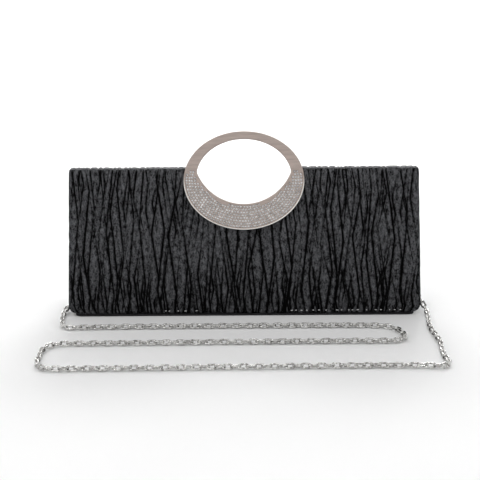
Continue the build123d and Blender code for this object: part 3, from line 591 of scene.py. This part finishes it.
def panel_cloth(name, rows, columns, low):
    """Pleated cloth over the rows of the profile, with the notch cut out of it."""
    u, s = np.meshgrid(columns, rows)
    x = u.copy()
    p = CLOTH(s)
    y, z = p[..., 0], p[..., 1]
    w = (y + DEPTH / 2) * sin(LEAN) + z * cos(LEAN)
    on_flap = (s < S_FOLD) & (s > S_FRONT)
    on_back = s > S_BACK
    on_top = ~on_flap & ~on_back & (s > S_FRONT)
    ellipse = np.hypot(x / BACK_A, (z - HEIGHT) / BACK_B)
    radial = np.hypot(x, w - NOTCH_W)
    half_gap = np.interp(s, [S_FOLD, S_TOP, S_HINGE, S_BACK], [GAP_X, GAP_X, GAP_X, BACK_A - 0.2])
    inside = np.where(on_back, ellipse < 1, on_top & (np.abs(x) < half_gap))
    inside = np.where(on_flap, radial < NOTCH_R, inside)
    keep = not_all_inside(inside)
    pull = on_flap & inside & (radial > 1)
    # Points inside the notch next to its edge move out to the edge.
    s2 = np.where(pull, s + (w - NOTCH_W) * (NOTCH_R / np.maximum(radial, 1) - 1), s)
    x2 = np.where(pull, x * NOTCH_R / np.maximum(radial, 1), x)
    pull = on_back & inside & (ellipse > 0.2)
    grow = 1 / np.maximum(ellipse, 0.2)
    s2 = np.where(pull, s + (HEIGHT - z) * (grow - 1), s2)
    x2 = np.where(pull, x * grow, x2)
    x2 = np.where(on_top & inside, np.sign(x) * half_gap, x2)
    face = np.abs(u) < FACE_END
    uu = np.where(face, x2, u)
    edge = EDGE(np.abs(uu))
    edge_n = EDGE_OUT(np.abs(uu))
    side = np.sign(uu) + (uu == 0)
    p, n = CLOTH(s2), CLOTH_OUT(s2)
    # How much of the pleats' height shows: less round the side edges, in the hems and over the top.
    weight = np.interp(np.abs(uu), [FACE_END - 0.5, HALF_W + 1], [1.0, 0.12])
    weight = weight * np.interp(s2, [0, S_FRONT - 4, S_FRONT - 2], [0.1, 0.25, 1.0])
    weight = weight * np.interp(s2, [S_BASE + 1, S_BASE + 4, CLOTH_END], [1.0, 0.3, 0.1])
    weight = weight * np.interp(s2, [S_FOLD, S_TOP, S_HINGE, S_BACK], [1.0, 0.6, 0.5, 1.0])
    lift, ridge = pleats(uu, s2)
    lift = lift * weight - 0.25 * np.interp(s2, [S_FOLD, S_TOP, S_HINGE, S_BACK], [0, 1, 1, 0])
    # Painted shade: the colour factor falls in the crease valleys, most where the pleats stand full height.
    shade = 1 - (1 - ridge) * np.clip(weight, 0, 1)
    # Painted shade and light: the cloth darkens towards its hem and lightens towards its top, for how the
    # light falls on it.
    shade = shade * np.interp(CLOTH(s2)[..., 1], [2, 12, 45, 80, 108], [0.8, 0.9, 0.98, 1.0, 1.2])
    depth = edge[..., 1] + lift * edge_n[..., 1]
    across = edge[..., 0] + lift * edge_n[..., 0]
    out_y = p[..., 0] - n[..., 0] * depth
    out_z = p[..., 1] - n[..., 1] * depth
    taper = 1.8 * np.clip(p[..., 1] / HEIGHT, 0, 1) + corner_pull(p[..., 1], low, CLOTH_CORNER_R)
    across = across - taper * (np.abs(across) / HALF_W) ** 6
    verts = np.stack([side * across, out_y, out_z], -1).reshape(-1, 3)
    faces = grid_faces(*u.shape, keep)
    shade = shade.reshape(-1)[np.unique(faces)]
    verts, faces = compact(verts, faces)
    obj = to_mesh(name, verts, faces[:, ::-1])
    # The fold attribute carries the painted shade of the valleys and of the hem to the material.
    fold = obj.data.attributes.new("fold", "FLOAT", "POINT")
    fold.data.foreach_set("value", shade.astype(np.float32))
    return obj


COLUMNS = side_columns(0.5)
flap_cloth = panel_cloth("flap_satin", ROWS_FLAP, COLUMNS, HEM_Z)
back_cloth = panel_cloth("back_satin", ROWS_BACK, COLUMNS, BACK_HEM_Z)
HINGE_BLEND = ("root", "flap", (0, 0.0072, HEIGHT * MM), (0, 0.0035, HEIGHT * MM))
finish(flap_cloth, SATIN, None, "pleated_satin", "flap_cover", blend=HINGE_BLEND)
finish(back_cloth, SATIN, "root", "pleated_satin", "back_cover")

# ---- plain cloth: walls, linings, bindings, gussets ----
FINE, BROAD = value_noise(21), value_noise(22)


def solid(obj, thickness, offset=-1):
    """Give a surface its thickness in mm, on one side or, with offset 0, on both, and smooth it."""
    return apply(obj, ("SOLIDIFY", {"thickness": thickness * MM, "offset": offset}),
                 ("SUBSURF", {"levels": 1, "render_levels": 1}))


def span(low, high, step):
    """Even positions from low to high, about step apart."""
    return np.linspace(low, high, max(2, round((high - low) / step) + 1))


def flat_cloth(name, place, half_w, low, high, step=3.0, hole=None, ripple=0.18, seed=0):
    """Thin cloth on a leaning panel, from height low to high in its plane, with rounded lower corners."""
    x, w = np.meshgrid(span(-half_w, half_w, step), span(low, high, step))
    keep = np.ones((x.shape[0] - 1, x.shape[1] - 1), bool)
    if hole:
        inside, x2, w2 = hole(x, w)
        keep = not_all_inside(inside)
        x, w = np.where(inside, x2, x), np.where(inside, w2, w)
    pull = corner_pull(w, low)
    edge = np.minimum(half_w - np.abs(x), 12) / 12
    lift = ripple * (0.6 * FINE(x / 9 + seed, w / 14) + BROAD(x / 31, w / 27 + seed)) * edge
    x = x - np.sign(x) * pull * (np.abs(x) / half_w) ** 4
    y, z = place(w, -lift)
    verts, faces = compact(np.stack([x, y, z], -1).reshape(-1, 3), grid_faces(*x.shape, keep))
    return to_mesh(name, verts, faces[:, ::-1])


def round_hole(centre, a, b):
    """Hole test for an ellipse, with the points inside it moved out to its edge."""
    def hole(x, w):
        r = np.maximum(np.hypot(x / a, (w - centre) / b), 0.05)
        return r < 1, x / r, centre + (w - centre) / r
    return hole


def on_panel(depth, back=False):
    """Place function of a panel at a depth below its outer face; w runs up its plane."""
    def place(w, lift):
        y, z = flap_yz(w, depth + lift)
        return (-y if back else y), z
    return place


NOTCH = round_hole(NOTCH_W, NOTCH_R + 1.5, NOTCH_R + 1.5)
BACK_NOTCH = round_hole(BACK_NOTCH_W, BACK_A + 1.5, BACK_B + 1.5)
PANEL_D = 3.45                          # the linings lie on the boards, this far below the outer face
cloth = flat_cloth("flap_lining_cloth", on_panel(PANEL_D), LINING_HALF_W, 4.4, 108.2, hole=NOTCH, seed=1)
finish(solid(cloth, -LINING_T), LINING, "flap", "lining_satin", "flap_lining")
cloth = flat_cloth("back_lining_cloth", on_panel(PANEL_D, True), LINING_HALF_W, 3.6, 107.6,
                   hole=BACK_NOTCH, seed=2)
finish(solid(cloth, LINING_T), LINING, "root", "lining_satin", "back_lining")
cloth = flat_cloth("front_lining_cloth", on_panel(8.0), LINING_HALF_W, 3.8, 73.0, seed=3)
finish(solid(cloth, -LINING_T), LINING, "root", "lining_satin", "front_lining")
cloth = flat_cloth("slip_pocket_cloth", on_panel(4.35, True), 60, 14.2, 62.6, step=2.0, ripple=0.45, seed=4)
finish(solid(cloth, 0.6), LINING, "root", "lining_satin", "slip_pocket")


def floor_cloth():
    """Lining on the floor of the pouch."""
    x, t = np.meshgrid(span(-119.5, 119.5, 3), span(0, 1, 0.08))
    low, high = flap_yz(3.4, 8.7)[0], -flap_yz(3.4, 4.1)[0]
    lift = 0.15 * FINE(x / 11, t * 4) + 0.1 * BROAD(x / 33, t * 2)
    verts = np.stack([x, low + (high - low) * t, 3.75 + lift], -1).reshape(-1, 3)
    return to_mesh("base_lining_cloth", verts, grid_faces(*x.shape))


finish(solid(floor_cloth(), 0.6), LINING, "root", "lining_satin", "base_lining")


def ring_stack(outline, rings):
    """Closed shell from one outline inset and lifted ring by ring, with both ends filled."""
    n = len(outline)
    centre = outline.mean(0)
    verts = []
    for inset, z in rings:
        d = outline - centre
        scale = 1 - inset / np.abs(d).max(0)
        verts.append(np.column_stack([centre + d * scale, np.full(n, z)]))
    verts = np.concatenate(verts)
    return verts, tube_faces(len(rings), n)


BASE_X, BASE_Y, BASE_R = 125, 20, 5     # centres and radius of the base's corners


def base_plate():
    """Satin over the base board, with a soft lower edge."""
    corners = []
    for turn, (right_x, back_y) in enumerate(((1, 1), (-1, 1), (-1, -1), (1, -1))):
        for a in range(0, 91, 10):
            at = radians(90 * turn + a)
            corners.append((right_x * BASE_X + BASE_R * cos(at), back_y * BASE_Y + BASE_R * sin(at)))
    corners = np.array(corners)
    dense = []
    for a, b in zip(corners, np.roll(corners, -1, 0)):
        n = max(1, int(np.hypot(*(b - a)) / 3))
        dense += [a + (b - a) * k / n for k in range(n)]
    rings = [(6, 0.02), (1.2, 0.0), (0.35, 0.12), (0, 0.5), (0, 1.0), (0.3, 1.38), (1.2, 1.5), (6, 1.5)]
    verts, faces = ring_stack(np.array(dense), rings)
    return to_mesh("base_satin", verts, faces)


finish(base_plate(), PLAIN, "root", "plain_satin", "base_cover")


def front_wall():
    """Satin of the front pocket wall: up its face, over its top edge and down inside as a facing."""
    face_d, inner_d, half_w, hem_w = 4.62, 8.95, 133.4, 1.7
    path = [(*flap_yz(hem_w, face_d), 0), (*flap_yz(76.6, face_d), 1.3), (*flap_yz(77.4, inner_d), 1.3),
            (*flap_yz(66, inner_d), 0)]
    point, out, end = profile(path)
    edge, edge_n, edge_end = profile([(0, 0, 0), (half_w, 0, 1.2), (half_w, 3.8, 1.2), (129, 3.8, 0)],
                                     left_normal=False)
    half = np.concatenate([span(0, 131, 2.5), span(131, edge_end, 0.6)[1:]])
    rows = np.concatenate([span(0, 72, 2.5), span(72, 82, 0.5)[1:], span(82, end, 2)[1:]])
    u, s = np.meshgrid(np.concatenate([-half[:0:-1], half]), rows)
    e, en, p, n = edge(np.abs(u)), edge_n(np.abs(u)), point(s), out(s)
    lift = 0.16 * FINE(u / 8, s / 13) + 0.2 * BROAD(u / 29, s / 25)
    lift = lift * np.interp(np.abs(u), [125, 133], [1, 0.1])
    lift = lift * np.interp(s, [0, 6, 70, 74, end], [0.2, 1, 1, 0.3, 0.3])
    depth = e[..., 1] + lift * en[..., 1]
    depth = np.where(s > 76, np.minimum(depth, 1.0), depth)
    across = e[..., 0] + lift * en[..., 0] - corner_pull(p[..., 1], hem_w) * (np.abs(u) / 133) ** 6
    verts = np.stack([np.sign(u) * across, p[..., 0] - n[..., 0] * depth, p[..., 1] - n[..., 1] * depth], -1)
    return to_mesh("front_satin", verts.reshape(-1, 3), grid_faces(*u.shape)[:, ::-1])


finish(front_wall(), PLAIN, "root", "plain_satin", "front_cover")


def sweep_band(points, into, normal, section):
    """Closed band along points: section is (distance into the panel, depth) pairs."""
    points, into, normal = (np.asarray(a, float) for a in (points, into, normal))
    verts = np.stack([points + into * a - normal * b for a, b in section], 1).reshape(-1, 3)
    return verts, tube_faces(len(points), len(section))


def binding_section(thick, reach=3.0):
    """U of folded satin round a panel's edge, from its outer face to thick."""
    outer = [(reach, -0.35), (0.8, -0.38), (0.15, 0.15), (-0.12, thick / 2), (0.15, thick - 0.15),
             (0.8, thick + 0.38), (reach, thick + 0.35)]
    inner = [(reach, thick - 0.1), (1.1, thick - 0.2), (0.6, thick / 2), (1.1, 0.2), (reach, 0.1)]
    return outer + inner


BAND_T = 4.1                            # thickness of the panels that the bindings go round
BAND_R = 40.0                           # radius of the binding on the flap
BAND_TOP_W = 108.6                      # and where it meets the top, in the plane of the flap
BAND_STEPS = 90
PUCKER, PUCKERS = 0.12, 40              # height and number of its puckers


def flap_band():
    """Binding round the flap's notch and along both sides of the gap in the top."""
    section = binding_section(BAND_T)
    start = np.arcsin((NOTCH_W - BAND_TOP_W) / BAND_R)
    pts, into = [], []
    for a in np.linspace(pi + start, 2 * pi - start, BAND_STEPS):
        radial = np.array([cos(a), 0, 0]) + FLAP_UP * sin(a)
        pts.append(FLAP_FOOT + FLAP_UP * NOTCH_W + radial * (BAND_R + PUCKER * sin(a * PUCKERS)))
        into.append(radial)
    parts = [sweep_band(pts, into, [FLAP_OUT] * len(pts), section)]
    for side in (-1, 1):
        ys = span(-5.4, 3.4, 0.8)
        pts = [(side * 38.6, y, HEIGHT - max(0, -3.6 - y) * 0.9) for y in ys]
        parts.append(sweep_band(pts, [(side, 0, 0)] * len(ys), [(0, 0, 1)] * len(ys), section))
    return to_mesh("flap_band", *join_meshes(parts))


def back_band():
    """Binding round the notch of the back."""
    section = binding_section(BAND_T)
    up = np.array([0, -sin(LEAN), cos(LEAN)])
    out = np.array([0, cos(LEAN), sin(LEAN)])
    low = np.array([0, DEPTH / 2, 0])
    pts, into = [], []
    band_b = 34.2
    for a in np.linspace(pi + 0.12, 2 * pi - 0.12, BAND_STEPS):
        edge = np.array([BACK_A * 0.974 * cos(a), 0, 0]) + up * (band_b * sin(a))
        along = np.array([-BACK_A * sin(a), 0, 0]) + up * (band_b * cos(a))
        radial = np.cross(out, along / np.linalg.norm(along))
        radial *= np.sign(radial @ edge)
        pts.append(low + up * BACK_NOTCH_W + edge + radial * PUCKER * sin(a * PUCKERS))
        into.append(radial)
    return to_mesh("back_band", *sweep_band(pts, into, [out] * len(pts), section))


finish(flap_band(), PLAIN, "flap", "plain_satin", "flap_binding")
finish(back_band(), PLAIN, "root", "plain_satin", "back_binding")


def hinge_cloth():
    """Lining across the inside of the hinge, on both sides of the notch."""
    foot_y, foot_z = flap_yz(99, 3.9)
    path = [(-foot_y, foot_z, 0), (2.6, 106.6, 1.2), (-2.6, 106.75, 0)]
    point, _, end = profile(path)
    parts = []
    for side in (-1, 1):
        x, s = np.meshgrid(side * span(41.5, 131.6, 3), span(0, end, 0.7))
        p = point(s)
        lift = 0.12 * FINE(x / 8, s / 5)
        verts = np.stack([x, p[..., 0] - lift, p[..., 1] - lift], -1).reshape(-1, 3)
        parts.append((verts, grid_faces(*x.shape)[:, ::side]))
    return to_mesh("hinge_lining", *join_meshes(parts))


finish(solid(hinge_cloth(), 0.4, 0), LINING, None, "lining_satin",
       blend=("root", "flap", (0, 0.003, 0.104), (0, 0.0012, 0.1068)))


GUSSET_RIM_X, GUSSET_FLOOR_X = 132.6, 121.6
TONGUE_Z, TONGUE_X = 77, 122.5          # above it only the gusset's back part goes on up
GUSSET_TOP = 104


def gusset_cloth(side_name, side):
    """Folded gusset: a channel that opens outwards, and a tongue up the back."""
    z_rows = np.concatenate([span(3.6, POCKET_TOP, 1.8), span(POCKET_TOP, TONGUE_Z, 0.75)[1:],
                             span(TONGUE_Z, GUSSET_TOP, 1.8)[1:]])
    rows = []
    for z in z_rows:
        front = flap_yz(z / cos(LEAN), 8.7)[0] + 0.9
        back = -flap_yz(z / cos(LEAN), 4.1)[0] - 0.9
        rim_x = np.interp(z, [POCKET_TOP, TONGUE_Z], [GUSSET_RIM_X, TONGUE_X])
        floor_front = max(front + 1.0, -2.6) if z > POCKET_TOP else front + 1.0
        rim_front = np.interp(z, [POCKET_TOP, TONGUE_Z], [front, floor_front + 0.2])
        points = np.array([(rim_x, rim_front), (GUSSET_FLOOR_X, floor_front), (GUSSET_FLOOR_X, back - 1.0),
                           (GUSSET_RIM_X, back)])
        t = np.concatenate([span(0, 1, 0.1), span(1, 2, 0.07)[1:], span(2, 3, 0.1)[1:]])
        xy = np.stack([np.interp(t, [0, 1, 2, 3], points[:, k]) for k in (0, 1)], 1)
        xy[1:-1] = (xy[:-2] + 2 * xy[1:-1] + xy[2:]) / 4
        fold = np.exp(-((t - 1.5) / 0.16) ** 2) * 0.7
        fold = fold + 0.35 * np.exp(-((t - 1.25 - 0.1 * sin(z / 9)) / 0.07) ** 2)
        crumple = 0.3 * FINE(t * 6 + side * 5, z / 9) + 0.35 * BROAD(t * 3, z / 21 + side)
        xy[:, 0] -= np.maximum(fold + crumple, -0.15) * np.where((t > 0.9) & (t < 2.1), 1, 0.4)
        rows.append(np.column_stack([side * xy[:, 0], xy[:, 1], np.full(len(t), z)]))
    verts = np.concatenate(rows)
    faces = grid_faces(len(z_rows), len(t))
    return to_mesh(f"gusset_{side_name}_cloth", verts, faces[:, ::side])


def ribbon_loop(side_name, side):
    """Sewn satin tab round the D-ring's bar."""
    bar_z, bend_r = 88.0, 1.72
    circle = [(bend_r * cos(a), bend_r * sin(a)) for a in np.linspace(radians(128), radians(-150), 26)]
    line = np.array([(-3.35, 9.0), (-3.35, 6.6), (-3.3, 4.4), (-2.4, 2.9), *circle, (-3.2, 1.0),
                     (-4.05, 3.0), (-4.1, 5.5), (-4.1, 9.0)])
    tangent = np.gradient(line, axis=0)
    tangent /= np.linalg.norm(tangent, axis=1)[:, None]
    normal = np.stack([-tangent[:, 1], tangent[:, 0]], 1)
    ys = np.array([-2.1, -1.9, -0.9, 0, 0.9, 1.9, 2.1])
    crown = np.array([0.12, 0.26, 0.3, 0.32, 0.3, 0.26, 0.12])
    section = [(y, c) for y, c in zip(ys, crown)] + [(y, -c) for y, c in zip(ys[::-1], crown[::-1])]
    verts = []
    for p, q in zip(line, normal):
        for y, c in section:
            verts.append((side * (STRAP_X + p[0] + q[0] * c), y, bar_z + p[1] + q[1] * c))
    faces = tube_faces(len(line), len(section))
    if side > 0:
        faces = [face[::-1] for face in faces]
    return to_mesh(f"loop_{side_name}_ribbon", verts, faces)


for side_name, side in SIDES.items():
    gusset = solid(gusset_cloth(side_name, side), 0.9, 0)
    finish(gusset, PLAIN, "root", "plain_satin", f"gusset_{side_name}")
    finish(ribbon_loop(side_name, side), PLAIN, "root", "plain_satin", f"loop_{side_name}")


# ---- crystals ----
STONE_SEAT = 2.0                        # the stones' seats stand this far out from the flap's face
SAME_STONE = 0.9                        # parts of one stone lie closer than this


def cut_stone():
    """Round faceted stone of diameter 2 mm on Z = 0."""
    levels = [(8, 0.52, 1.15, 0.5), (8, 0.80, 0.88, 0.0), (16, 0.98, 0.50, 0.0),
              (16, 0.96, 0.34, 0.0), (16, 0.7, 0.0, 0.0)]      # points, radius, height, turn
    verts, rings = [], []
    for count, r, z, turn in levels:
        rings.append(range(len(verts), len(verts) + count))
        angles = [2 * pi * (k + turn) / count for k in range(count)]
        verts += [(r * cos(a), r * sin(a), z) for a in angles]
    top, mid, girdle, under, foot = rings
    faces = [list(top)]
    for k in range(8):
        faces.append([top[k - 1], mid[k], top[k]])
        faces.append([mid[k], mid[(k + 1) % 8], top[k]])
        faces.append([mid[k], girdle[2 * k], girdle[(2 * k + 1) % 16]])
        faces.append([mid[k], girdle[(2 * k + 1) % 16], mid[(k + 1) % 8]])
        faces.append([mid[(k + 1) % 8], girdle[(2 * k + 1) % 16], girdle[(2 * k + 2) % 16]])
    for upper, lower in ((girdle, under), (under, foot)):
        faces += [[upper[k], lower[k], lower[(k + 1) % 16], upper[(k + 1) % 16]] for k in range(16)]
    return np.array(verts), faces


def set_stones():
    """A cut stone on each of the CAD's crystals, turned and tipped a little."""
    mesh = NODES["crystals"].data
    co = np.array([v.co for v in mesh.vertices]) / MM
    label = np.arange(len(co))          # spreads along the edges until each stone has its own
    edges = np.array([e.vertices for e in mesh.edges])
    while True:
        low = np.minimum(label[edges[:, 0]], label[edges[:, 1]])
        new = label.copy()
        np.minimum.at(new, edges[:, 0], low)
        np.minimum.at(new, edges[:, 1], low)
        new = new[new]
        if (new == label).all():
            break
        label = new
    spots = set()
    for group in np.unique(label):
        c = co[label == group].mean(0)
        spots.add((round(c[0], 1), round((c - FLAP_FOOT) @ FLAP_UP, 1)))
    centres = []
    for x, w in sorted(spots):
        if all(hypot(x - a, w - b) > SAME_STONE for a, b in centres[-40:]):
            centres.append((x, w))
    verts, faces = cut_stone()
    parts = []
    for x, w in centres:
        a = RNG.uniform(0, 2 * pi)
        tip = RNG.uniform(-0.09, 0.09, 2)
        spin = np.array([[cos(a), sin(a), 0], [-sin(a), cos(a), 0], [0, 0, 1]])
        local = verts @ spin
        local[:, 2] += local[:, 0] * tip[0] + local[:, 1] * tip[1]
        base = np.array([x, -DEPTH / 2, 0]) + FLAP_UP * w + FLAP_OUT * STONE_SEAT
        parts.append((base + local @ np.array([[1, 0, 0], FLAP_UP, FLAP_OUT]), faces))
    return to_mesh("cut_crystals", *join_meshes(parts), smooth=False)


finish(set_stones(), CRYSTAL, "flap", "crystal", "crystals")


# ---- ring's rolled lip and the painted glints along the flap's hem ----
def bead(points, radii, around=8):
    """Closed round bead along points, of the radius given at each."""
    points = np.asarray(points, float)
    along = np.gradient(points, axis=0)
    along /= np.linalg.norm(along, axis=1)[:, None]
    side = np.cross(along, FLAP_OUT)
    side /= np.linalg.norm(side, axis=1)[:, None]
    over = np.cross(side, along)
    verts = []
    for p, a, b, r in zip(points, side, over, radii):
        verts += [p + r * (cos(t) * a + sin(t) * b) for t in np.arange(around) * 2 * pi / around]
    return np.array(verts), tube_faces(len(points), around)


def on_flap_face(x, w, out=0.0):
    """Point at x and w in the flap's plane, standing out from its face."""
    return np.array([x, -DEPTH / 2 + w * sin(LEAN) - out * cos(LEAN), w * cos(LEAN) + out * sin(LEAN)])


def ring_lip():
    """Rolled lip round the lower edge of the ring, with a painted highlight in its pale colour."""
    inset, sunk, reach = 0.35, 0.3, 98
    angles = np.linspace(radians(-reach), radians(reach), 150)
    points = [on_flap_face((RING_A - inset) * sin(a), RING_W - (RING_B - inset) * cos(a), RING_T - sunk)
              for a in angles]
    radii = LIP_R * np.clip((radians(reach + 1) - np.abs(angles)) / 0.25, 0.15, 1)
    return to_mesh("ring_lip", *bead(points, radii))


def painted_hem_glints():
    """Short pale glossy beads along the flap's hem: painted glints."""
    parts = []
    for low, high in HEM_GLINT_SPANS:
        x = low
        while x < high:
            length = RNG.uniform(0.8, 2.2)
            points = [on_flap_face(x + length * k / 6, HEM_GLINT_W + RNG.uniform(-0.15, 0.15), 0.35)
                      for k in range(7)]
            parts.append(bead(points, [0.12, 0.24, 0.3, 0.32, 0.3, 0.24, 0.12], 6))
            x += length + RNG.uniform(1.2, 7.0)
    return to_mesh("painted_hem_glints", *join_meshes(parts))


# The lip's pale colour is a painted highlight.
finish(ring_lip(), LIP_PAINTED_HIGHLIGHT, "flap", "champagne_metal")
# Painted glints: pale glossy beads along the hem.
finish(painted_hem_glints(), GLINT, "flap", "plain_satin")


# ---- floor and lights ----
FLOOR_FRONT, WALL_Y, WALL_TOP, FLOOR_HALF_W, FLOOR_BEND = -3000, 1800, 5000, 5000, 900
FLOOR_DROP = 0.05
sweep, _ = rounded_path([(FLOOR_FRONT, 0, 0), (WALL_Y, 0, FLOOR_BEND), (WALL_Y, WALL_TOP, 0)], 60)
stage_verts = [(x, y, z - FLOOR_DROP) for y, z in sweep for x in (-FLOOR_HALF_W, FLOOR_HALF_W)]
floor = to_mesh("floor", stage_verts, grid_faces(len(sweep), 2)[:, ::-1])
floor.data.materials.append(material("floor", (0.93, 0.93, 0.93), 0.75, grain=3, tint=(0.99, 1.01)))

world = bpy.data.worlds.new("studio")
bpy.context.scene.world = world
world.use_nodes = True
sky = world.node_tree.nodes["Background"].inputs
sky["Color"].default_value = (1, 1, 1, 1)
sky["Strength"].default_value = 0.7


def area_light(name, place, target, size, power):
    """Rectangular light at place, in metres, that faces target."""
    lamp = bpy.data.lights.new(name, "AREA")
    lamp.shape = "RECTANGLE"
    lamp.size, lamp.size_y = size
    lamp.energy = power
    obj = bpy.data.objects.new(name, lamp)
    obj.location = place
    obj.rotation_euler = (Vector(target) - Vector(place)).to_track_quat("-Z", "Y").to_euler()
    bpy.context.scene.collection.objects.link(obj)


LIGHTS = (                              # name, place, target, size, watts
    ("behind", (0.1, 1.75, 0.98), (0, 0, 0), (1.0, 0.6), 27),
    ("key", (-0.7, -0.9, 1.1), (0, 0, 0.05), (0.7, 0.7), 3.0),
    ("backdrop", (0, 2.0, 2.4), (0, 4.2, 0.5), (3.0, 1.0), 100),
)
for light in LIGHTS:
    area_light(*light)
bpy.context.scene.view_settings.view_transform = "Standard"
bpy.context.scene.view_settings.look = "None"

bpy.context.view_layer.update()
